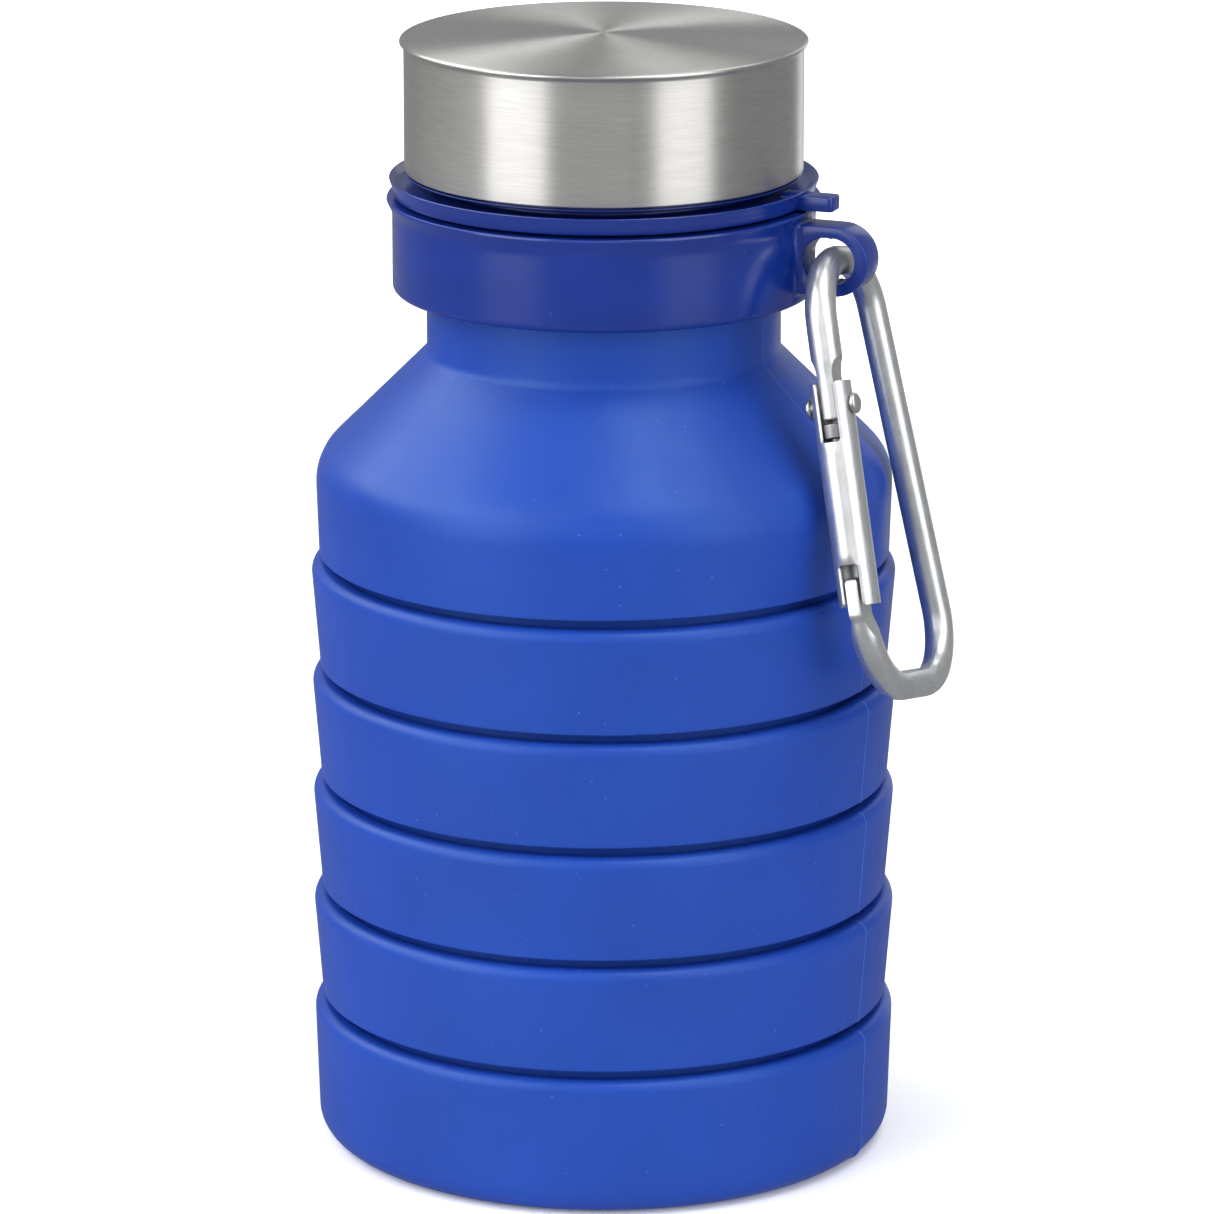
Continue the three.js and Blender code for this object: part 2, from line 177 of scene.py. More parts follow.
def add_swept(bm, centres, across, offsets, along):
    """Sweeps a closed section along a line, with Z as its up and with closed ends.
    offsets holds each station's section as rows of (across, up)."""
    up = np.tile([0.0, 0.0, 1.0], (len(centres), 1))
    points = (
        centres[:, None, :]
        + offsets[:, :, :1] * across[:, None, :]
        + offsets[:, :, 1:] * up[:, None, :]
    )
    sides = offsets.shape[1]
    flow = np.zeros(points.shape)
    flow[:, :, 0] = along[:, None] * MM
    flow[:, :, 1] = (np.arange(sides) / sides)[None, :] * MM * FLOW_ROUND
    grid = add_grid(bm, points, flow=flow)
    bm.faces.new(grid[0])
    bm.faces.new(grid[-1])


def add_coil(bm, radius, angle, heights, section):
    """Sweeps a section round Z at one radius, with an angle and a height for each station."""
    out = spokes(angle)
    centres = out * radius
    centres[:, 2] = heights
    add_swept(bm, centres, out, section, radius * angle)


def mark_sharp(bm, sharp):
    """Keeps the edges hard that turn by more than an angle or that border a hole."""
    for edge in bm.edges:
        edge.smooth = len(edge.link_faces) == 2 and edge.calc_face_angle(0) < sharp


def linked(name, bm, place):
    """Puts a bmesh in millimetres into the scene as a smooth object in metres."""
    for face in bm.faces:
        face.smooth = True
    bm.transform(Matrix.Scale(MM, 4) @ place)
    mesh = bpy.data.meshes.new(name)
    bm.to_mesh(mesh)
    bm.free()
    piece = bpy.data.objects.new(name, mesh)
    bpy.context.scene.collection.objects.link(piece)
    return piece


def make(name, bm, sharp=math.radians(34), place=None):
    """Turns a bmesh into an object, with its faces outwards and its hard edges kept hard."""
    bmesh.ops.remove_doubles(bm, verts=bm.verts, dist=1e-5)
    bmesh.ops.recalc_face_normals(bm, faces=bm.faces)
    mark_sharp(bm, sharp)
    return linked(name, bm, place or Matrix.Identity(4))


def applied(piece):
    """Bakes a piece's modifiers into its mesh."""
    graph = bpy.context.evaluated_depsgraph_get()
    mesh = bpy.data.meshes.new_from_object(piece.evaluated_get(graph))
    piece.modifiers.clear()
    piece.data = mesh


def bevelled(piece, width, segments, angle=40):
    """Rounds a piece's edges that turn by more than an angle."""
    bevel = piece.modifiers.new("edges", "BEVEL")
    bevel.width = width * MM
    bevel.segments = segments
    bevel.limit_method = "ANGLE"
    bevel.angle_limit = math.radians(angle)
    bevel.harden_normals = False
    applied(piece)
    for polygon in piece.data.polygons:
        polygon.use_smooth = True
    return piece


def sharpened(piece, angle):
    """Clears a bevelled mesh of the empty faces that a bevel can leave, and marks its hard edges."""
    bm = bmesh.new()
    bm.from_mesh(piece.data)
    bmesh.ops.dissolve_degenerate(bm, dist=1e-7, edges=bm.edges)
    mark_sharp(bm, math.radians(angle))
    bm.to_mesh(piece.data)
    bm.free()
    return piece


def smoothstep(values, low, high):
    t = np.clip((np.asarray(values, float) - low) / (high - low), 0, 1)
    return t * t * (3 - 2 * t)


# ---------------------------------------------------------------- material helpers

SPECK_CELLS = (0.80, 0.86)                  # only cells whose random value is past this hold a speck
NOISE_MIDDLE = (0.3, 0.7)                   # most of a noise pattern's values lie in this range


class Finish:
    """One procedural material: a Principled shader, and short calls that add nodes to it."""

    def __init__(self, name, **surface):
        self.material = bpy.data.materials.new(name)
        self.material.use_nodes = True
        self.tree = self.material.node_tree
        self.shader = self.tree.nodes["Principled BSDF"]
        self.place = self.add("ShaderNodeTexCoord").outputs["Object"]
        self.set(**surface)

    def add(self, kind, **inputs):
        made = self.tree.nodes.new(kind)
        self.fill(made, inputs)
        return made

    def plug(self, socket, value):
        """Links a node's output to a socket, or writes a plain value into it."""
        if isinstance(value, bpy.types.NodeSocket):
            self.tree.links.new(value, socket)
        else:
            socket.default_value = value

    def fill(self, node, inputs):
        for name, value in inputs.items():
            self.plug(node.inputs[name.replace("_", " ")], value)

    def set(self, **surface):
        self.fill(self.shader, surface)
        return self

    def noise(self, scale, detail=3.0, rough=0.5, place=None, stretch=None):
        where = place or self.place
        if stretch:
            where = self.add("ShaderNodeMapping", Vector=where, Scale=stretch).outputs["Vector"]
        settings = {"Scale": scale, "Detail": detail, "Roughness": rough}
        return self.add("ShaderNodeTexNoise", Vector=where, **settings).outputs["Fac"]

    def specks(self, scale, size):
        """Sparse round dots: 1 inside one, 0 outside. Only some cells of the pattern hold one."""
        cells = self.add("ShaderNodeTexVoronoi", Vector=self.place, Scale=scale)
        near = self.remap(cells.outputs["Distance"], size, 0.4 * size, 0, 1)
        chosen = self.add("ShaderNodeSeparateColor", Color=cells.outputs["Color"]).outputs["Red"]
        return self.maths("MULTIPLY", near, self.remap(chosen, *SPECK_CELLS, 0, 1))

    def remap(self, value, low, high, to_low, to_high):
        made = self.add("ShaderNodeMapRange")
        made.clamp = True
        for index, number in enumerate((value, low, high, to_low, to_high)):
            self.plug(made.inputs[index], number)
        return made.outputs["Result"]

    def spread(self, pattern, low=0.0, high=1.0):
        """Spreads the middle of a noise pattern over a range."""
        return self.remap(pattern, *NOISE_MIDDLE, low, high)

    def maths(self, operation, first, second=0.0):
        made = self.add("ShaderNodeMath")
        made.operation = operation
        for index, value in enumerate((first, second)):
            self.plug(made.inputs[index], value)
        return made.outputs["Value"]

    def mix(self, factor, first, second):
        """Mixes two colours, each a node's output or an (r, g, b) tuple."""
        made = self.add("ShaderNodeMix")
        made.data_type = "RGBA"
        sockets = (made.inputs["Factor"], made.inputs[6], made.inputs[7])
        for socket, value in zip(sockets, (factor, first, second)):
            self.plug(socket, (*value, 1.0) if isinstance(value, tuple) else value)
        return made.outputs[2]

    def bump(self, height, depth, strength=1.0, under=None):
        """Depth is in metres. Returns the normal, which a further bump can lie on."""
        inputs = {"Height": height, "Distance": depth, "Strength": strength}
        if under is not None:
            inputs["Normal"] = under
        normal = self.add("ShaderNodeBump", **inputs).outputs["Normal"]
        self.set(Normal=normal)
        return normal

    def put_on(self, piece):
        piece.data.materials.clear()
        piece.data.materials.append(self.material)


def tint(colour, factor):
    return tuple(channel * factor for channel in colour)


SILICONE_BLUE = (0.0065, 0.040, 0.305)
SILICONE_DUST = (0.16, 0.28, 0.70)
SILICONE_PAINTED_HIGHLIGHT = (0.10, 0.20, 0.62)          # painted highlight along the parting line, where its ridge would catch the light
PLASTIC_BLUE = (0.003, 0.0196, 0.176)
PLASTIC_DUST = (0.16, 0.25, 0.6)


def silicone_finish():
    """Satin moulded silicone: a fine matte grain, faint handling marks, a little dust and a painted
    highlight along the parting line.
    """
    finish = Finish("silicone", IOR=1.43, Specular_Tint=(0.6, 0.95, 1.0, 1))
    mottling = finish.spread(finish.noise(45, detail=3))
    colour = finish.mix(mottling, tint(SILICONE_BLUE, 0.94), tint(SILICONE_BLUE, 1.07))
    dust = finish.specks(560, 0.10)
    dusty = finish.mix(finish.maths("MULTIPLY", dust, 0.42), colour, SILICONE_DUST)
    # Painted highlight: a paler strip mixed into the colour along both parting lines, standing in for
    # the light that the ridge catches.
    parts = finish.add("ShaderNodeSeparateXYZ", Vector=finish.place).outputs
    from_x = finish.maths("MULTIPLY", parts["X"], math.sin(PARTING))
    from_y = finish.maths("MULTIPLY", parts["Y"], math.cos(PARTING))
    from_line = finish.maths("ABSOLUTE", finish.maths("SUBTRACT", from_x, from_y))
    painted_highlight = finish.remap(from_line, 0.00006, 0.0002, 0.3, 0)
    finish.set(Base_Color=finish.mix(painted_highlight, dusty, SILICONE_PAINTED_HIGHLIGHT))
    rubbed = finish.noise(120, detail=5, rough=0.7)
    grain = finish.noise(5200, detail=2)
    finish.set(Roughness=finish.spread(rubbed, 0.38, 0.48))
    under = finish.bump(grain, 0.00002, 0.35)
    finish.bump(dust, 0.00003, 0.5, under)
    return finish


def plastic_finish(name, colour=PLASTIC_BLUE):
    """Glossy moulded polypropylene: faint flow marks and hairline scratches."""
    finish = Finish(name, IOR=1.53)
    flow = finish.spread(finish.noise(60, detail=3, stretch=(1, 1, 3)))
    tone = finish.mix(flow, tint(colour, 0.93), tint(colour, 1.09))
    dust = finish.specks(480, 0.08)
    finish.set(Base_Color=finish.mix(finish.maths("MULTIPLY", dust, 0.25), tone, PLASTIC_DUST))
    wear = finish.noise(300, detail=6, rough=0.75)
    finish.set(Roughness=finish.remap(wear, 0.35, 0.75, 0.19, 0.23))
    ripple = finish.noise(70, detail=1)
    scratches = finish.noise(900, detail=2, stretch=(1, 1, 14))
    under = finish.bump(ripple, 0.00001, 0.2)
    finish.bump(scratches, 0.000001, 0.3, under)
    return finish


def turned_steel_finish():
    """Stainless steel brushed round its axis, on the flat top and on the side alike."""
    finish = Finish("cap_steel", Metallic=1.0, Anisotropic=0.83, Anisotropic_Rotation=0.25)
    tangent = finish.add("ShaderNodeTangent")
    tangent.direction_type = "RADIAL"
    tangent.axis = "Z"
    finish.set(Tangent=tangent.outputs["Tangent"])
    parts = finish.add("ShaderNodeSeparateXYZ", Vector=finish.place).outputs
    x_squared = finish.maths("MULTIPLY", parts["X"], parts["X"])
    y_squared = finish.maths("MULTIPLY", parts["Y"], parts["Y"])
    squares = finish.maths("ADD", x_squared, y_squared)
    radius = finish.maths("MAXIMUM", finish.maths("SQRT", squares), 1e-5)
    groove = finish.add("ShaderNodeCombineXYZ")
    finish.fill(groove, {
        "X": finish.maths("DIVIDE", parts["X"], radius),
        "Y": finish.maths("DIVIDE", parts["Y"], radius),
        "Z": finish.maths("MULTIPLY", finish.maths("SUBTRACT", radius, parts["Z"]), 900),
    })
    where = groove.outputs["Vector"]
    fine = finish.noise(9, detail=4, rough=0.75, place=where)
    dashes = finish.noise(4, detail=3, rough=0.6, place=where, stretch=(1.3, 1.3, 1))
    cloudy = finish.noise(70, detail=3)
    tone = finish.mix(finish.spread(dashes), (0.53, 0.52, 0.50), (0.62, 0.61, 0.59))
    finish.set(Base_Color=tone)
    much, little = finish.maths("MULTIPLY", fine, 0.6), finish.maths("MULTIPLY", cloudy, 0.4)
    finish.set(Roughness=finish.spread(finish.maths("ADD", much, little), 0.30, 0.38))
    under = finish.bump(fine, 0.000006, 0.4)
    finish.bump(dashes, 0.00001, 0.3, under)
    return finish


def drawn_metal_finish(name, colour, rough):
    """Drawn or pressed metal: fine lines along the wire and shallow dents."""
    finish = Finish(name, Metallic=0.93)
    flow = finish.add("ShaderNodeAttribute")
    flow.attribute_name = "flow"
    where = flow.outputs["Vector"]
    lines = finish.noise(1, detail=3, rough=0.7, place=where, stretch=(160, 5200, 1))
    cloudy = finish.noise(240, detail=4, rough=0.65)
    tone = finish.mix(finish.spread(cloudy), tint(colour, 0.86), tint(colour, 1.05))
    finish.set(Base_Color=tone)
    finish.set(Roughness=finish.spread(lines, rough * 0.8, rough * 1.35))
    dents = finish.noise(330, detail=2)
    under = finish.bump(lines, 0.00001, 0.35)
    finish.bump(dents, 0.00006, 0.3, under)
    return finish


def gasket_finish():
    """Soft milky silicone."""
    finish = Finish("gasket_silicone", IOR=1.42, Subsurface_Weight=0.2, Subsurface_Scale=0.002)
    milky = finish.noise(150, detail=3)
    finish.set(Base_Color=finish.mix(milky, (0.70, 0.70, 0.67), (0.84, 0.84, 0.82)))
    finish.set(Roughness=finish.spread(milky, 0.4, 0.55))
    finish.bump(finish.noise(3500), 0.00001, 0.4)
    return finish


# ---------------------------------------------------------------- silicone body

EDGE_R = BULGE_R - 1.0                      # a band's crisp lower edge
BULGE_DROP = 2.3                            # how far under the slit a band is widest
ROLL_IN = 1.6                               # how far its top rolls in
MOUTH = 0.65                                # how far that top lies under the slit's lower side
LIP_RISE = 0.35                             # how far its outer lower edge lies above the slit
BODY_WALL = 2.6
INNER_R = EDGE_R - BODY_WALL
WEB_R = INNER_R + 0.3                       # the thin web that joins two bands inside the slit
WEB_REACH = SLIT - 0.02
FLASH = 0.10                                # how proud the parting line stands
FLASH_WIDTH = 0.09
TAB_WIDTH = 0.3                             # of the flash's little tabs at a band's edges
FOOT_FLASH = 0.3                            # how proud it stands at the foot of the base
FOOT_FLASH_WIDTH = 0.45
NO_EDGE = 50                                # moves the waves of an edge out of reach
NECK_R = 25.6
CONE_TOP = 118.4                            # where the shoulder's cone meets the neck
SHOULDER_R = 41.95


def silicone_angles():
    """Angles for the body, close together beside both parting lines."""
    beside = np.array([0, 0.05, 0.1, 0.16, 0.24, 0.36, 0.55, 0.8]) / BULGE_R
    both = np.concatenate([beside, -beside])
    return ring_angles(264, np.concatenate([PARTING + both, PARTING + math.pi + both]))


def beside_parting(angle):
    """How far round the body an angle is from the nearer parting line."""
    far_line = np.abs(angle - PARTING - math.pi)
    near_line = np.abs((angle - PARTING + math.pi) % (2 * math.pi) - math.pi)
    return np.minimum(far_line, near_line) * BULGE_R


def waves(angle, *parts):
    """Sums (height, count, phase) sine waves round the body."""
    return sum(height * np.sin(count * angle + phase) for height, count, phase in parts)


def moulded(low, high, seed):
    """The small faults of a soft moulding: not quite round, with wavy slit edges and a parting line."""
    phases = np.random.default_rng(seed).uniform(0, 2 * math.pi, 6)

    def shape(angle, radius, height):
        outside = smoothstep(radius, INNER_R + 1.2, EDGE_R - 0.6)
        across = beside_parting(angle)
        flash = np.exp(-((across / FLASH_WIDTH) ** 2))
        tab = np.exp(-((across / TAB_WIDTH) ** 2))
        roundness = waves(angle, (0.07, 2, phases[0]), (0.05, 3, phases[1]))
        at_top = smoothstep(height, high - 1.2, high)
        at_low = 1 - smoothstep(height, low, low + 1.2)
        top_wave = waves(angle, (0.05, 3, phases[2]), (0.03, 7, phases[3])) + 0.10 * tab
        low_wave = waves(angle, (0.04, 2, phases[4]), (0.03, 5, phases[5])) - 0.12 * tab
        return (
            radius + outside * (roundness + FLASH * flash),
            height + outside * (at_top * top_wave + at_low * low_wave),
        )

    return shape


def rolled_top(high):
    """A band's rounded top: it rolls from the widest line up and in, under the slit, to the web."""
    rise = BULGE_DROP - MOUTH
    roll = [
        (BULGE_R - ROLL_IN * (1 - math.cos(t)), high - BULGE_DROP + rise * math.sin(t))
        for t in np.radians(np.arange(0, 91, 6.0))
    ]
    return roll + [
        (WEB_R + 0.6, high - MOUTH - 0.05, 0.3),
        (WEB_R, high - MOUTH - 0.35),
        (WEB_R, high + WEB_REACH),
        (INNER_R, high + WEB_REACH),
    ]


def base_cup():
    """The lowest band, closed by a floor with a shallow recess inside its foot ring."""
    outline = rounded([
        (0, 0.6),
        (30.0, 0.6, 2.0),
        (31.5, 0.0, 1.2),
        (EDGE_R + 0.4, 0, 4.0),
        *rolled_top(BASE_TOP),
        (INNER_R - 0.3, 3.0, 3.0),
        (0, 3.0),
    ], closed=False)
    faults = moulded(-NO_EDGE, BASE_TOP, 11)

    def shape(angle, radius, height):
        foot = smoothstep(radius, EDGE_R - 3.0, EDGE_R - 1.0) * (1 - smoothstep(height, 1.5, 4.0))
        tab = np.exp(-((beside_parting(angle) / FOOT_FLASH_WIDTH) ** 2))
        radius, height = faults(angle, radius, height)
        return radius + FOOT_FLASH * foot * tab, height

    bm = bmesh.new()
    add_turned(bm, divided(outline, 2.0, closed=False), silicone_angles(), shape)
    return make("base_section", bm)


def fold_band(i):
    """One of the bands between the base and the shoulder, with the web to the next above it."""
    low, high = low_mm(RINGS[i]).z, high_mm(RINGS[i]).z
    outline = rounded([
        (INNER_R, low),
        (WEB_R + 0.1, low),
        (EDGE_R - 0.1, low + LIP_RISE, 0.25),
        *rolled_top(high),
    ])
    bm = bmesh.new()
    add_turned(bm, divided(outline, 1.6), silicone_angles(), moulded(low, high, 20 + i))
    return make(f"fold_band_{i + 1}", bm)


def shoulder_section():
    """The shoulder, a 45 degree cone with a round foot, and the neck in one."""
    low, top = low_mm("shoulder_neck").z, high_mm("shoulder_neck").z
    cone_low = CONE_TOP - (SHOULDER_R - NECK_R)
    inset = BODY_WALL * (math.sqrt(2) - 1)
    outline = rounded([
        (WEB_R + 0.1, low),
        (EDGE_R - 0.1, low + LIP_RISE, 0.25),
        (SHOULDER_R, cone_low, 8.0),
        (NECK_R, CONE_TOP, 2.2),
        (NECK_R, top),
        (NECK_R - 2.0, top),
        (NECK_R - 2.0, CONE_TOP - 1.4, 1.5),
        (SHOULDER_R - BODY_WALL, cone_low - inset, 5.4),
        (INNER_R, low),
    ])
    bm = bmesh.new()
    add_turned(bm, divided(outline, 1.6), silicone_angles(), moulded(low, top + NO_EDGE, 31))
    return make("shoulder_section", bm)


# ---------------------------------------------------------------- threads

THREAD_BOTTOM = 147.6                       # on the neck
CAP_THREAD_BOTTOM = THREAD_BOTTOM - 2.0
THREAD_RIDGE = 0.95                         # how proud the ridges stand
THREAD_LEAD = 8.0                           # how far one turn lifts the cap
THREAD_TURNS = 0.75
THREAD_STARTS = 2


def add_thread(bm, wall, bottom):
    """Rounded screw ridges on a wall, fading out at both ends."""
    t = np.linspace(0, 1, 90)
    fade = np.sqrt(smoothstep(t, 0, 0.08) * (1 - smoothstep(t, 0.92, 1))) * 0.98 + 0.02
    section = unit_circle(14)[None] * (THREAD_RIDGE * fade)[:, None, None]
    heights = bottom + THREAD_LEAD * THREAD_TURNS * t
    for start in range(THREAD_STARTS):
        angle = 2 * math.pi * (start / THREAD_STARTS + THREAD_TURNS * t)
        add_coil(bm, wall, angle, heights, section)


# ---------------------------------------------------------------- neck insert and collar

FLANGE_FOOT = COLLAR_TOP + 0.4
NECK_BORE_R = 21.4
NECK_WALL_R = 24.2                          # the wall that carries the thread
LUG_ROOT = 27.5                             # where the lug starts, inside the flange
LUG_HALF = 1.85


def neck_insert():
    """The moulded neck: a dished flange with a thin lip, and the screw thread above it."""
    low, high = low_mm("neck_insert"), high_mm("neck_insert")
    flange_r = -low.x
    foot, lip = FLANGE_FOOT, low_mm("cap_liner").z - 0.5
    bm = bmesh.new()
    add_turned(bm, rounded([
        (NECK_BORE_R, low.z),
        (23.3, low.z, 0.2),
        (23.3, foot),
        (flange_r - 0.75, foot, 0.25),
        (flange_r - 0.35, foot + 1.5, 4.0),
        (flange_r, lip, 0.12),
        (flange_r - 0.35, lip, 0.12),
        (flange_r - 1.6, foot + 1.55, 1.2),
        (NECK_WALL_R, foot + 1.45, 0.4),
        (NECK_WALL_R, high.z, 0.5),
        (NECK_BORE_R, high.z, 0.5),
    ]), ring_angles(240))
    add_thread(bm, NECK_WALL_R, THREAD_BOTTOM)
    return make("neck_insert_turned", bm)


def add_block(bm, outline, low, high):
    """Raises an [x, y] outline from one height to another."""
    floor = [bm.verts.new((p[0], p[1], low)) for p in outline]
    roof = [bm.verts.new((p[0], p[1], high)) for p in outline]
    bm.faces.new(floor)
    bm.faces.new(roof)
    for i in range(len(outline)):
        k = (i + 1) % len(outline)
        bm.faces.new((floor[i], floor[k], roof[k], roof[i]))


def flange_lug():
    """The small lug on the flange's rim, a little narrower at its end."""
    tip, tip_half = high_mm("neck_insert").x, LUG_HALF - 0.1
    bm = bmesh.new()
    add_block(bm, rounded([
        (LUG_ROOT, -LUG_HALF),
        (tip, -tip_half, 0.7),
        (tip, tip_half, 0.7),
        (LUG_ROOT, LUG_HALF),
    ]), FLANGE_FOOT + 0.02, FLANGE_FOOT + 2.2)
    return sharpened(bevelled(make("flange_lug", bm), 0.32, 4), 50)


COLLAR_BORE = 25.9
LOOP_BORE = 3.4
LOOP_SLOT = 0.95                            # how much longer the hole is than it is high
LOOP_R = 5.0
LOOP_SHIFT = 0.35                           # how far out the eye's outside lies from the hole
LOOP_HALF = 2.6                             # half of its thickness
ROOT_FILLET = 1.1


def collar_ring():
    """The collar's skirt, swelling into fillets where the loop grows out of it."""
    low, top, wall = low_mm("collar").z, COLLAR_TOP, COLLAR_WALL
    outline = divided(rounded([
        (COLLAR_BORE, low + 1),
        (COLLAR_BORE + 1.7, low + 1, 0.2),
        (COLLAR_BORE + 1.7, top - 2.4, 0.3),
        (wall - 2.3, top - 2.4, 0.3),
        (wall - 2.3, low + 0.3, 0.2),
        (wall - 2.0, low, 0.2),
        (wall, low, 0.9),
        (wall, top - 2.0, 3.0),
        (COLLAR_RIM, top - 0.35, 0.2),
        (COLLAR_RIM - 0.1, top, 0.15),
        (COLLAR_BORE, top, 0.3),
    ]), 0.35)
    beside = LOOP_HALF + np.array([-0.3, 0, 0.03, 0.1, 0.2, 0.35, 0.55, 0.8, 1.1, 1.5, 2.0])
    extra = np.concatenate([beside, -beside, np.linspace(-2.2, 2.2, 8)]) / wall

    def swell(angle, radius, height):
        sideways = np.abs(np.sin(angle)) * wall - LOOP_HALF
        above = np.abs(height - LOOP_CENTRE.z) - (LOOP_R - 0.3)
        distance = np.hypot(np.maximum(sideways, 0), np.maximum(above, 0))
        inside = np.clip(1 - distance / ROOT_FILLET, 0, 1)
        rise = ROOT_FILLET * (1 - np.sqrt(np.maximum(0, 1 - inside**2)))
        facing = (np.cos(angle) > 0) * smoothstep(radius, wall - 0.6, wall - 0.1)
        return radius + rise * facing, height

    bm = bmesh.new()
    add_turned(bm, outline, ring_angles(240, extra), swell)
    return make("collar_ring", bm, sharp=math.radians(40))


def collar_loop():
    """The loop that the snap hook hangs in: a thick eye with a slotted hole and softened edges."""
    x, z = LOOP_CENTRE.x, LOOP_CENTRE.z
    root = COLLAR_WALL - 1.2                    # the eye starts inside the collar's wall
    turn = np.radians(np.arange(-180, 180, 4.0))
    corner = math.atan2(LOOP_R, root - x)
    turn = np.unique(np.concatenate([turn, [corner, -corner]]))
    outer, inner = [], []
    for phi in turn:
        c, s = math.cos(phi), math.sin(phi)
        reach = LOOP_SHIFT * c + math.sqrt(LOOP_R**2 - (LOOP_SHIFT * s) ** 2)
        if reach * c < LOOP_SHIFT:
            reach = min(LOOP_R / max(abs(s), 1e-9), (root - x) / min(c, -1e-9))
        outer.append((reach * c, reach * s))
        slot = LOOP_BORE
        if c < 0:
            slot = -LOOP_SLOT * c + math.sqrt(LOOP_BORE**2 - (LOOP_SLOT * s) ** 2)
        inner.append((slot * c, slot * s))
    rows = []
    for line, side in ((outer, 1), (outer, -1), (inner, -1), (inner, 1)):
        rows.append([(x + a, side * LOOP_HALF, z + b) for a, b in line])
    bm = bmesh.new()
    add_grid(bm, np.array(rows), wrap_rows=True)
    loop = bevelled(make("collar_loop", bm), 0.42, 4, 60)
    return sharpened(loop, 50)


# ---------------------------------------------------------------- cap

DOME = 0.8                                  # how far the cap's top rises at its centre
SHEET = 0.6                                 # the steel's thickness
LINER_BORE = 25.8
LINER_TOP = 2.2
GASKET_BORE = 21.7


def cap_shell():
    """The spun steel cup over the cap, with a rolled edge round its flat top."""
    low, high = low_mm("cap_shell"), high_mm("cap_shell")
    edge = -low.x
    wall = edge - 0.6
    dome = [
        (edge * t, high.z + DOME * (1 - t**2))
        for t in np.linspace(0, 0.97, 12)
    ]
    outline = rounded([
        *dome,
        (edge - 0.35, high.z, 0.7),
        (edge - 0.03, high.z - 0.16, 0.2),
        (edge, high.z - 0.45, 0.2),
        (wall, high.z - 0.95, 0.5),
        (wall, low.z, 0.2),
        (wall - SHEET, low.z, 0.2),
        (wall - SHEET, high.z - SHEET),
        (0, high.z - SHEET),
    ], closed=False)
    bm = bmesh.new()
    add_turned(bm, divided(outline, 2.5, closed=False), ring_angles(288))
    return make("cap_shell_spun", bm)


def cap_liner():
    """The threaded plastic cup inside the steel, with a thin flange that shows under it."""
    low, high = low_mm("cap_liner"), high_mm("cap_liner")
    flange = -low.x
    outer = flange - 0.7
    under = low_mm("cap_shell").z - 0.3
    bm = bmesh.new()
    add_turned(bm, rounded([
        (0, high.z),
        (outer, high.z, 0.5),
        (outer, under),
        (flange, under, 0.1),
        (flange, low.z, 0.18),
        (LINER_BORE, low.z, 0.3),
        (LINER_BORE, high.z - LINER_TOP, 0.5),
        (0, high.z - LINER_TOP),
    ], closed=False), ring_angles(240))
    add_thread(bm, LINER_BORE, CAP_THREAD_BOTTOM)
    return make("cap_liner_moulded", bm)


def cap_gasket():
    """The seal in the cap, with a shallow groove round its lower face."""
    low, high = low_mm("cap_gasket"), high_mm("cap_gasket")
    bm = bmesh.new()
    add_turned(bm, rounded([
        (GASKET_BORE, low.z, 0.45),
        (22.9, low.z, 0.4),
        (23.5, low.z + 0.25, 0.4),
        (24.1, low.z, 0.4),
        (high.x, low.z, 0.45),
        (high.x, high.z, 0.45),
        (GASKET_BORE, high.z, 0.45),
    ]), ring_angles(160))
    return make("cap_gasket_ring", bm)


# ---------------------------------------------------------------- snap hook, in its own flat frame

HOOK_LEAN = math.radians(13.2)              # how far its lower end stands out from the bottle
HOOK_TILT = math.radians(-11.3)             # its turn in its own plane
HOOK_OFFSET = Vector((1.7, -0.53, -0.26))
TO_UPRIGHT = Matrix(((0, 0, 1, 0), (1, 0, 0, 0), (0, 1, 0, 0), (0, 0, 0, 1)))
HOOK_PLACE = (
    Matrix.Translation(LOOP_CENTRE)
    @ Matrix.Rotation(-HOOK_LEAN, 4, "Y")
    @ TO_UPRIGHT
    @ Matrix.Translation(HOOK_OFFSET)
    @ Matrix.Rotation(HOOK_TILT, 4, "Z")
)
WIRE = 2.1                                  # its radius
GATE_X = -10.2                              # the gate's axis; the wire's two ends lie on it
HOOK_END = -61.2                            # its lower run
SPINE_LOW, SPINE_TOP = 20.4, 8.0            # the corners that the spine runs between
NOSE_BEND, LOW_BEND, TOP_BEND = 11.6, 8.6, 8.8
BLADE_TOP = -45.1                           # the end of the nose, pressed into a blade
BLADE_HALF = 0.9
BLADE_DEEPER, BLADE_SHALLOWER = 0.36, 0.2   # what pressing adds outside the hook and takes inside it
TONGUE_END = -22.6                          # the end in the hinge, pressed into a tongue
TONGUE_HALF = 1.18
SWELL = 0.09                                # how much thicker the wire is above the hinge
RIVET_Y = -20.7


def hook_line():
    """The wire's centreline, from the nose down, up the spine, over the top and down to the hinge.
    Returns the length, the place and the heading at each station."""
    corners = rounded([
        (GATE_X, BLADE_TOP),
        (GATE_X, HOOK_END, NOSE_BEND),
        (SPINE_LOW, HOOK_END, LOW_BEND),
        (SPINE_TOP, 0, TOP_BEND),
        (GATE_X, 0, TOP_BEND),
        (GATE_X, TONGUE_END),
    ], closed=False, step=math.radians(2))
    points = np.array([tuple(p) for p in corners])
    lengths = np.concatenate([[0], np.cumsum(np.linalg.norm(np.diff(points, axis=0), axis=1))])
    even = np.linspace(0, lengths[-1], math.ceil(lengths[-1] / 0.3) + 1)
    close = np.array([0.03, 0.1, 0.2])
    along = np.sort(np.concatenate([even, close, lengths[-1] - close]))
    line = np.stack([np.interp(along, lengths, points[:, k]) for k in (0, 1)], axis=-1)
    heading = np.gradient(line, along, axis=0)
    heading /= np.linalg.norm(heading, axis=1, keepdims=True)
    return along, line, heading


def unit_range(value, start, length):
    """0 before a stretch, 1 after it, and an even rise along it."""
    return min(1, max(0, (value - start) / length))


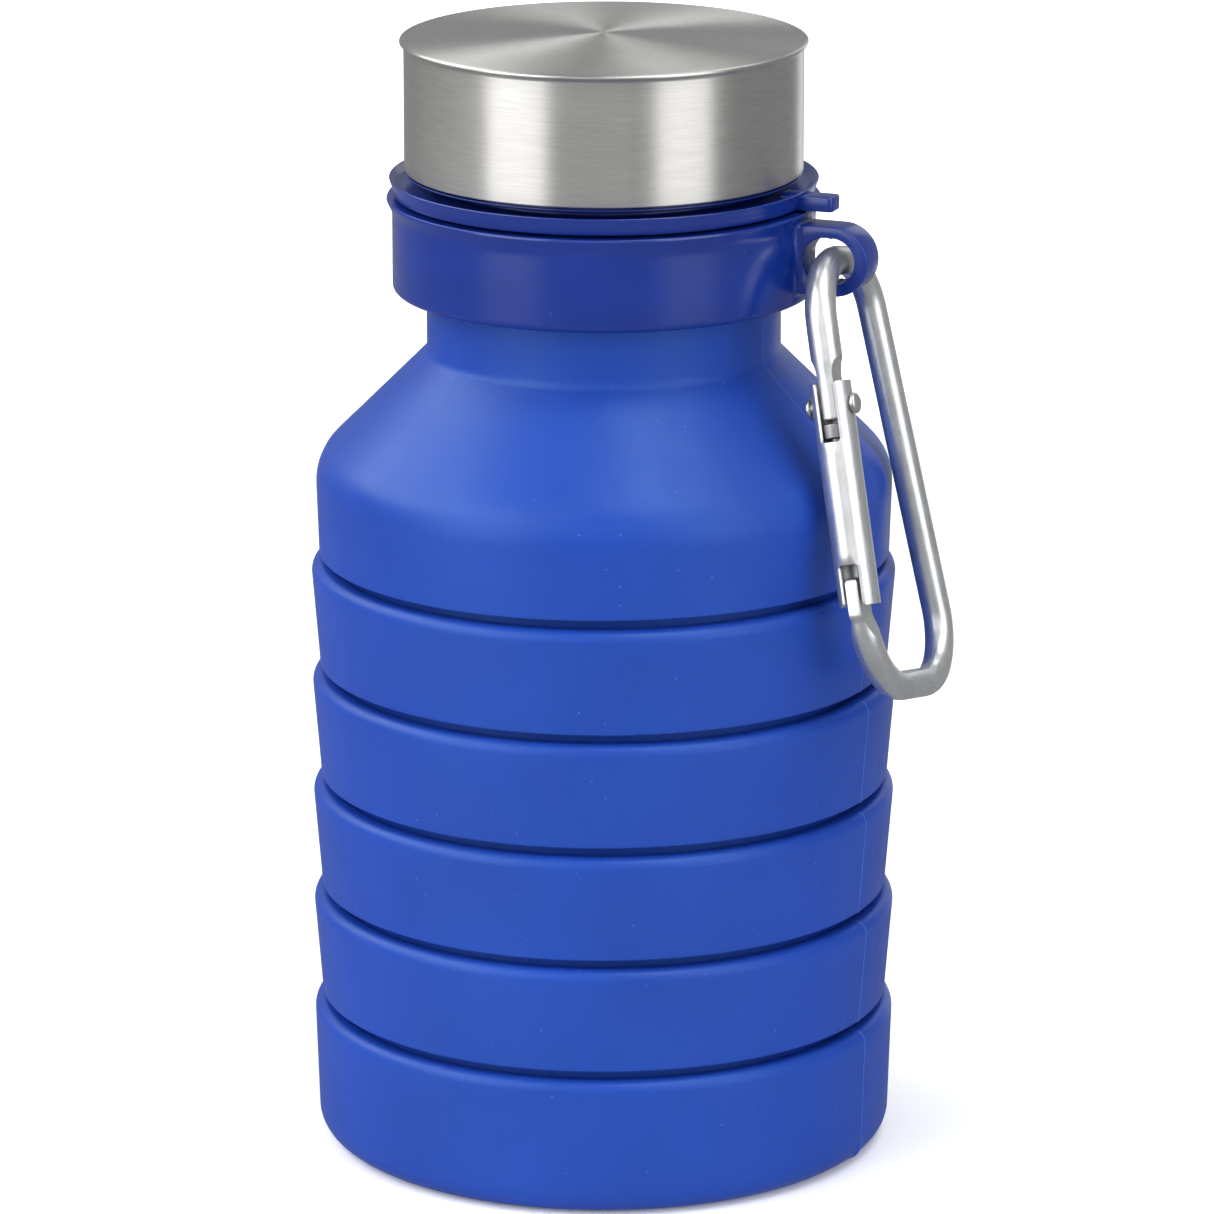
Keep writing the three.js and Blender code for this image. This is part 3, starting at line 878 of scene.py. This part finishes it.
def hook_section(from_nose, from_hinge):
    """The wire's section at one place, as (across, up) points: two arcs, and a flat between each pair
    of their ends. half is half of its thickness, and top is below 1 where an end rounds off."""
    half, squareness, outer, inner, top = WIRE, 1.0, WIRE, WIRE, 1.0
    if from_nose < 9.2:
        half = BLADE_HALF + (WIRE - BLADE_HALF) * unit_range(from_nose, 5.7, 3.4)
        blade = 1 - float(smoothstep(from_nose, 5.3, 6.1))
        squareness = 1 - 0.72 * blade
        outer = WIRE + BLADE_DEEPER * blade
        inner = WIRE - BLADE_SHALLOWER * blade
        top = math.sqrt(max(0.02, 1 - max(0, 1 - from_nose / 0.85) ** 2))
    if from_hinge < 9.0:
        round_out = 1 - math.sqrt(max(0, 1 - unit_range(from_hinge, 6.5, 2.2) ** 2))
        half = TONGUE_HALF + (WIRE - TONGUE_HALF) * round_out
        top = 1 - 0.1 * max(0, 1 - from_hinge / 0.25) ** 2
    swollen = smoothstep(from_hinge, 5.5, 9.0) * (1 - smoothstep(from_hinge, 12, 26))
    swelling = 1 + SWELL * float(swollen)
    end_inset = (1 - top) * 0.9
    outer = outer * swelling - end_inset
    inner = inner * swelling - end_inset
    edge = min(math.asin(min(1, half / WIRE)), math.radians(89))
    edge_reach = math.cos(edge) ** squareness
    points = []
    for side, reach, next_reach in ((1, outer, inner), (-1, inner, outer)):
        for angle in np.linspace(-edge, edge, 11):
            across = reach * math.cos(angle) ** squareness
            points.append((side * across, side * WIRE * math.sin(angle) * top * swelling))
        start, end = side * reach * edge_reach, -side * next_reach * edge_reach
        for t in np.linspace(0, 1, 7)[1:-1]:
            points.append((start + (end - start) * t, side * WIRE * math.sin(edge) * top * swelling))
    return points


def hook_frame():
    """The hook's bent wire."""
    along, line, heading = hook_line()
    offsets = np.array([hook_section(s, along[-1] - s) for s in along])
    centres = np.column_stack([line, 0 * along])
    outward = np.column_stack([heading[:, 1], -heading[:, 0], 0 * along])
    bm = bmesh.new()
    add_swept(bm, centres, outward, offsets, along)
    return make("hook_wire", bm, sharp=math.radians(28), place=HOOK_PLACE)


GATE_R = 3.0
GATE_SHEET = 0.45
GATE_TOP = -17.3
GATE_LOW = -49.1
CHEEK_TOP = RIVET_Y - 1                     # above it the sheet is two cheeks, with gaps between
WINDOW_END = -25.8                          # the slot for the wire's end, on the outer side
NOSE_TOP = -43.2                            # the slot for the nose, on the outer side
SHEET_CORNER = 0.55                         # the radius of the sheet's corners


def hook_gate():
    """The gate: a sheet rolled into a tube, with slots for the wire's end and for the nose."""
    step = math.radians(15)
    columns = round(2 * math.pi / step)
    stops = (GATE_LOW, NOSE_TOP, WINDOW_END, CHEEK_TOP, GATE_TOP)
    heights = []
    for start, end in zip(stops, stops[1:]):
        count = max(1, round((end - start) / 1.6))
        heights += list(np.linspace(start, end, count + 1)[:-1])
    heights.append(GATE_TOP)

    def is_open(column, middle):
        from_outer = min(column, columns - 1 - column)
        if from_outer < 2 and (middle > WINDOW_END or middle < NOSE_TOP):
            return True
        from_inner = abs(column - (columns - 1) / 2)
        return from_inner < 2 and middle > CHEEK_TOP

    bm = bmesh.new()
    layer = flow_layer(bm)
    grid = [[bm.verts.new((j * GATE_R * step, y, 0)) for j in range(columns + 1)] for y in heights]
    for i in range(len(heights) - 1):
        middle = (heights[i] + heights[i + 1]) / 2
        for j in range(columns):
            if not is_open(j, middle):
                bm.faces.new((grid[i][j], grid[i][j + 1], grid[i + 1][j + 1], grid[i + 1][j]))
    bmesh.ops.delete(bm, geom=[v for v in bm.verts if not v.link_faces], context="VERTS")
    width = columns * GATE_R * step
    corners = [
        v for v in bm.verts
        if len(v.link_faces) in (1, 3) and 0.01 < v.co.x < width - 0.01
    ]
    bmesh.ops.bevel(
        bm, geom=corners, offset=SHEET_CORNER, segments=4, profile=0.5, affect="VERTICES",
    )
    for vertex in bm.verts:
        angle = vertex.co.x / GATE_R
        vertex[layer] = (vertex.co.y * MM, vertex.co.x * MM, 0)
        vertex.co = (GATE_X - GATE_R * math.cos(angle), vertex.co.y, GATE_R * math.sin(angle))
    bmesh.ops.remove_doubles(bm, verts=bm.verts, dist=1e-4)
    bmesh.ops.recalc_face_normals(bm, faces=bm.faces)
    outward = sum(
        (face.calc_center_median() - Vector((GATE_X, face.calc_center_median().y, 0))).dot(face.normal)
        for face in bm.faces
    )
    if outward < 0:
        bmesh.ops.reverse_faces(bm, faces=bm.faces)
    gate = linked("hook_gate_sheet", bm, HOOK_PLACE)
    wall = gate.modifiers.new("sheet", "SOLIDIFY")
    wall.thickness = GATE_SHEET * MM
    wall.offset = -1
    wall.use_even_offset = True
    applied(gate)
    return sharpened(bevelled(gate, 0.07, 2, 50), 45)


SEAT = -38.0                                # the ledge in the gate that its spring stands on
SEAT_BORE = 1.3
RIVET_HEAD, RIVET_SHANK = 1.5, 0.9
RIVET_REACH = 3.15                          # from its middle to the underside of a head
RIVET_RISE = 0.9                            # how high a head is
PLUNGER_TOP = TONGUE_END - 0.55
PLUNGER_HEAD = 2.1                          # how long its wider end is
PLUNGER_HEAD_R, PLUNGER_STEM_R = 2.25, 1.2
SPRING_R = 1.8
SPRING_WIRE = 0.25
SPRING_TURNS = 7
END_ROOM = SPRING_WIRE + 0.1
GATE_AXIS = (                               # stands a piece that was turned about Z on the gate's axis
    HOOK_PLACE
    @ Matrix.Translation((GATE_X, 0, 0))
    @ Matrix.Rotation(math.radians(-90), 4, "X")
)


def gate_seat():
    """The pressed ring inside the gate that the spring stands on."""
    reach = GATE_R - GATE_SHEET - 0.01
    low = SEAT - 0.7
    bm = bmesh.new()
    add_turned(bm, rounded([
        (SEAT_BORE, low, 0.2),
        (reach, low),
        (reach, SEAT, 0.1),
        (SEAT_BORE, SEAT, 0.2),
    ]), ring_angles(48))
    return make("gate_seat", bm, place=GATE_AXIS)


def gate_rivet():
    """The rivet that the gate turns on: a shank, with the same domed head at both ends."""
    head_top = RIVET_REACH + RIVET_RISE
    half = rounded([
        (RIVET_SHANK, 0),
        (RIVET_SHANK, RIVET_REACH),
        (RIVET_HEAD, RIVET_REACH, 0.12),
        (RIVET_HEAD, RIVET_REACH + RIVET_RISE * 0.55, 0.45),
        (RIVET_HEAD * 0.55, head_top, 1.6),
        (0, head_top),
    ], closed=False, step=math.radians(8))
    mirrored = [Vector((p.x, -p.y)) for p in reversed(half[1:])]
    bm = bmesh.new()
    add_turned(bm, mirrored + half, ring_angles(56))
    return make("gate_rivet_domed", bm, place=HOOK_PLACE @ Matrix.Translation((GATE_X, RIVET_Y, 0)))


def gate_plunger():
    """The plunger that the spring holds against the wire's end."""
    under = PLUNGER_TOP - PLUNGER_HEAD
    low = under - 2.2
    bm = bmesh.new()
    add_turned(bm, rounded([
        (0, PLUNGER_TOP),
        (PLUNGER_HEAD_R, PLUNGER_TOP, 0.3),
        (PLUNGER_HEAD_R, under, 0.15),
        (PLUNGER_STEM_R, under, 0.15),
        (PLUNGER_STEM_R, low, 0.3),
        (0, low),
    ], closed=False), ring_angles(56))
    return make("gate_plunger_turned", bm, place=GATE_AXIS)


def gate_spring():
    """The compression spring between the gate's seat and the plunger."""
    low, high = SEAT + END_ROOM, PLUNGER_TOP - PLUNGER_HEAD - END_ROOM
    stations = SPRING_TURNS * 28 + 1
    t = np.linspace(0, 1, stations)
    section = np.tile(unit_circle(10) * SPRING_WIRE, (stations, 1, 1))
    bm = bmesh.new()
    add_coil(bm, SPRING_R, 2 * math.pi * SPRING_TURNS * t, low + (high - low) * t, section)
    return make("gate_spring_coil", bm, place=GATE_AXIS)


# ---------------------------------------------------------------- the bottle's pieces

silicone = silicone_finish()
collar_plastic = plastic_finish("collar_plastic")
neck_plastic = plastic_finish("neck_plastic")
cap_plastic = plastic_finish("cap_plastic", tint(PLASTIC_BLUE, 0.9))
steel = turned_steel_finish()
aluminium = drawn_metal_finish("hook_aluminium", (0.68, 0.69, 0.70), 0.31)
rivet_steel = drawn_metal_finish("rivet_steel", (0.55, 0.55, 0.55), 0.3)
spring_steel = drawn_metal_finish("spring_steel", (0.27, 0.27, 0.28), 0.34)
gasket = gasket_finish()


def stand_in(piece, body, slot, finish, *nodes):
    """Gives a piece its body and its finish, and hides the CAD nodes that it stands for."""
    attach(piece, body)
    if nodes:
        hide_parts(*nodes)
    finish.put_on(piece)
    return piece


FOLD_BODIES = ["base", "ring_2", "ring_3", "ring_4"]    # the bodies that the fold bands ride on
stand_in(base_cup(), "base", "silicone", silicone, "base_cup")
for i, body in enumerate(FOLD_BODIES):
    band = stand_in(fold_band(i), body, "silicone", silicone, RINGS[i])
    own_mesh(band)
stand_in(shoulder_section(), "shoulder", "silicone", silicone, "shoulder_neck")
stand_in(neck_insert(), "shoulder", "neck_plastic", neck_plastic, "neck_insert")
stand_in(flange_lug(), "shoulder", "neck_plastic", neck_plastic)
stand_in(collar_ring(), "shoulder", "collar_plastic", collar_plastic, "collar")
stand_in(collar_loop(), "shoulder", "collar_plastic", collar_plastic)
stand_in(cap_gasket(), "cap_seal", "gasket_silicone", gasket, "cap_gasket")
stand_in(cap_liner(), "cap", "cap_plastic", cap_plastic, "cap_liner")
stand_in(cap_shell(), "cap", "cap_steel", steel, "cap_shell")
stand_in(hook_frame(), "hook", "hook_aluminium", aluminium, "hook_frame")
stand_in(gate_rivet(), "hook", "rivet_steel", rivet_steel, "gate_rivet")
stand_in(hook_gate(), "gate", "hook_aluminium", aluminium, "hook_gate")
stand_in(gate_seat(), "gate", "hook_aluminium", aluminium)
stand_in(gate_plunger(), "gate", "spring_steel", spring_steel, "gate_plunger")
stand_in(gate_spring(), "gate", "spring_steel", spring_steel, "gate_spring")

# ---------------------------------------------------------------- floor, light and camera

PHOTO_AZIMUTH = 22.0
PHOTO_ELEVATION = 15.26
PHOTO_DISTANCE = 1.023
LENS = 207.6
LOOK_AT = Vector((0.0004, 0.0002, 0.0793))
NEAR_FLOOR = 0.45                           # the sheet under the bottle reaches this far, in metres
BACKDROP_R = 30.0                           # where the white wall stands, in metres
BACKDROP_HEIGHT = 25.0
WORLD_LIGHT = 0.315
SOFTBOXES = (                               # azimuth from the camera, elevation, distance, size, watts
    ("left_softbox", -50.5, 27, 0.6, (0.42, 0.75), 2.7),
    ("right_softbox", 46, 27, 0.6, (0.38, 0.75), 2.1),
    ("rim_softbox", -104, 39, 1.2, (1.3, 0.8), 11),
    ("back_left_softbox", -155, 42, 1.2, (0.4, 0.4), 1.3),
    ("back_right_softbox", 154, 52, 1.2, (0.4, 0.4), 1.1),
    ("right_rim_softbox", 156, 8, 1.0, (0.3, 0.9), 0.6),
    ("front_softbox", -3, 24, 1.25, (0.8, 0.7), 1.7),
    ("overhead", 50, 70, 1.4, (0.6, 0.6), 7),
)


def around(azimuth, elevation, distance, centre):
    """A point round the bottle. Azimuth 0 is on the -Y side and 90 on the +X side."""
    a, e = math.radians(azimuth), math.radians(elevation)
    return centre + distance * Vector(
        (math.sin(a) * math.cos(e), -math.cos(a) * math.cos(e), math.sin(e))
    )


def aimed(name, data, azimuth, elevation, distance):
    """Stands a lamp or a camera round the bottle, facing it."""
    place = around(azimuth, elevation, distance, LOOK_AT)
    item = bpy.data.objects.new(name, data)
    item.location = place
    item.rotation_mode = "QUATERNION"
    item.rotation_quaternion = (LOOK_AT - place).to_track_quat("-Z", "Y")
    bpy.context.scene.collection.objects.link(item)
    return item


def softbox(name, from_camera, elevation, distance, size, watts):
    light = bpy.data.lights.new(name, "AREA")
    light.shape = "RECTANGLE"
    light.size, light.size_y = size
    light.energy = watts
    lamp = aimed(name, light, PHOTO_AZIMUTH + from_camera, elevation, distance)
    lamp.visible_camera = False


def floor_ring(name, *outline):
    """A sheet turned round the bottle from (radius, height) pairs in metres, just under its foot."""
    bm = bmesh.new()
    angles = circle_steps(96)
    rings = [
        np.stack([radius * np.cos(angles), radius * np.sin(angles), height + 0 * angles], axis=-1)
        for radius, height in outline
    ]
    add_grid(bm, np.array(rings) / MM)
    made = make(name, bm)
    made.location.z = -0.00005
    return made


def paper_finish(name, glow):
    """White paper that gives off a little light of its own."""
    paper = Finish(name, Roughness=0.75, Emission_Color=(1, 1, 1, 1), Emission_Strength=glow)
    fibres = paper.noise(30, detail=4)
    return paper.set(Base_Color=paper.mix(fibres, (0.93, 0.93, 0.93), (0.95, 0.95, 0.95)))


def floor():
    """White sheets round the bottle. They are kept out of gloss, so its shine is the softboxes' own."""
    near = floor_ring("floor_near", (0.00001, 0), (NEAR_FLOOR, 0))
    far = floor_ring("floor_far", (NEAR_FLOOR, 0), (BACKDROP_R, 0))
    wall = floor_ring("backdrop_wall", (BACKDROP_R, 0), (BACKDROP_R, BACKDROP_HEIGHT))
    paper_finish("floor_paper", 0.1).put_on(near)
    paper_finish("backdrop_paper", 0.75).put_on(far)
    paper_finish("wall_paper", 1.0).put_on(wall)
    for sheet in (near, far, wall):
        sheet.visible_glossy = False
    for sheet in (far, wall):
        sheet.visible_diffuse = False
    wall.visible_shadow = False


def studio():
    world = bpy.data.worlds.new("studio")
    world.use_nodes = True
    background = world.node_tree.nodes["Background"]
    background.inputs["Color"].default_value = (0.96, 0.98, 1.0, 1)
    background.inputs["Strength"].default_value = WORLD_LIGHT
    bpy.context.scene.world = world
    for lamp in SOFTBOXES:
        softbox(*lamp)
    bpy.context.scene.view_settings.view_transform = "Standard"


def photo_camera():
    lens = bpy.data.cameras.new("camera")
    lens.sensor_width = 36
    lens.lens = LENS
    lens.clip_start = 0.05
    lens.clip_end = 60
    camera = aimed("camera", lens, PHOTO_AZIMUTH, PHOTO_ELEVATION, PHOTO_DISTANCE)
    bpy.context.scene.camera = camera


floor()
studio()
photo_camera()
